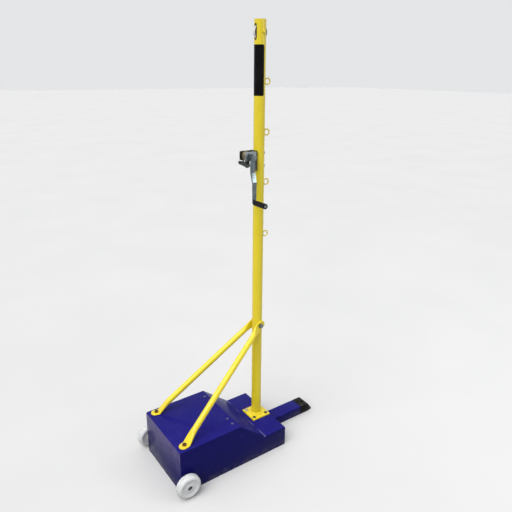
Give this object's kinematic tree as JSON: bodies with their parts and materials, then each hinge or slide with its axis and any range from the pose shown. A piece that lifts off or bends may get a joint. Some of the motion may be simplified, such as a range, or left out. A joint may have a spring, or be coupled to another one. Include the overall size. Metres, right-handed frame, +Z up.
{
  "type": "badminton net post",
  "caption": "Free-standing net post: a round upright with net rings, a head sheave and a ratchet winch, held by braces on a wheeled ballast box with a floor outrigger.",
  "frame": {"origin": "on the floor below the post's axis, on the underside of the ballast box's floor plate", "axes": "+Z up along the post, +X across the box along the wheel axle towards the crank, +Y towards the net, the way the outrigger points"},
  "size_m": [0.354, 0.7248, 1.55],
  "materials": {
    "yellow_coat": "glossy powder coat",
    "blue_coat": "high gloss enamel",
    "zinc_steel": "bright zinc plate",
    "dark_steel": "dark oiled steel",
    "bronze": "dark bronze",
    "ballast_iron": "rough cast",
    "white_plastic": "moulded, slightly glossy",
    "black_plastic": "moulded, satin"
  },
  "bodies": {
    "post": {"axle_clip_far": "zinc_steel", "axle_clip_near": "zinc_steel", "axle_spacer_far": "zinc_steel", "axle_spacer_near": "zinc_steel", "ballast_box": "blue_coat", "ballast_slab_1": "ballast_iron", "ballast_slab_2": "ballast_iron", "ballast_slab_3": "ballast_iron", "ballast_slab_4": "ballast_iron", "ballast_stop": "blue_coat", "box_floor": "blue_coat", "brace_far": "yellow_coat", "brace_foot_bolt_far": "zinc_steel", "brace_foot_bolt_near": "zinc_steel", "brace_foot_nut_far": "zinc_steel", "brace_foot_nut_near": "zinc_steel", "brace_head_bolt": "zinc_steel", "brace_head_nut": "zinc_steel", "brace_near": "yellow_coat", "flange_bolt_1": "zinc_steel", "flange_bolt_2": "zinc_steel", "flange_bolt_3": "zinc_steel", "flange_bolt_4": "zinc_steel", "flange_nut_1": "zinc_steel", "flange_nut_2": "zinc_steel", "flange_nut_3": "zinc_steel", "flange_nut_4": "zinc_steel", "foot_flange": "yellow_coat", "net_ring_1": "yellow_coat", "net_ring_2": "yellow_coat", "net_ring_3": "yellow_coat", "net_ring_4": "yellow_coat", "outrigger_cap": "black_plastic", "outrigger_tube": "blue_coat", "pawl_pin": "zinc_steel", "post_top_plate": "yellow_coat", "post_tube": "yellow_coat", "sheave_bolt": "zinc_steel", "sheave_nut": "zinc_steel", "sheave_spacer_far": "white_plastic", "sheave_spacer_near": "white_plastic", "stop_screw_1": "zinc_steel", "stop_screw_2": "zinc_steel", "stop_screw_3": "zinc_steel", "wheel_axle": "zinc_steel", "winch_bolt_1": "zinc_steel", "winch_bolt_2": "zinc_steel", "winch_bracket": "zinc_steel", "winch_nut_1": "zinc_steel", "winch_nut_2": "zinc_steel"},
    "head_sheave": {"head_sheave": "white_plastic"},
    "wheel_near": {"wheel_near": "white_plastic"},
    "wheel_far": {"wheel_far": "white_plastic"},
    "crank": {"winch_drum": "bronze", "winch_ratchet": "dark_steel", "crank_arm": "zinc_steel", "crank_nut": "zinc_steel", "grip_pin": "zinc_steel"},
    "grip": {"crank_grip": "black_plastic"},
    "pawl": {"winch_pawl": "dark_steel"}
  },
  "joints": [
    {"name": "wheel_near_spin", "type": "hinge", "parent": "post", "child": "wheel_near", "pos_m": [0.162, -0.4, 0.049], "axis": [1, 0, 0], "continuous": true},
    {"name": "wheel_far_spin", "type": "hinge", "parent": "post", "child": "wheel_far", "pos_m": [-0.162, -0.4, 0.049], "axis": [1, 0, 0], "continuous": true},
    {"name": "sheave_spin", "type": "hinge", "parent": "post", "child": "head_sheave", "pos_m": [0, 0, 1.513], "axis": [1, 0, 0], "continuous": true},
    {"name": "crank_turn", "type": "hinge", "parent": "post", "child": "crank", "pos_m": [0, -0.047, 1.129], "axis": [1, 0, 0], "continuous": true},
    {"name": "grip_spin", "type": "hinge", "parent": "crank", "child": "grip", "pos_m": [0.07, -0.047, 0.9765], "axis": [1, 0, 0], "continuous": true},
    {"name": "pawl_swing", "type": "hinge", "parent": "post", "child": "pawl", "pos_m": [-0.0122, -0.037, 1.094], "axis": [1, 0, 0], "range_deg": [0, 14], "stiffness_Nm_per_rad": 0.05, "springref_deg": -17.19}
  ]
}
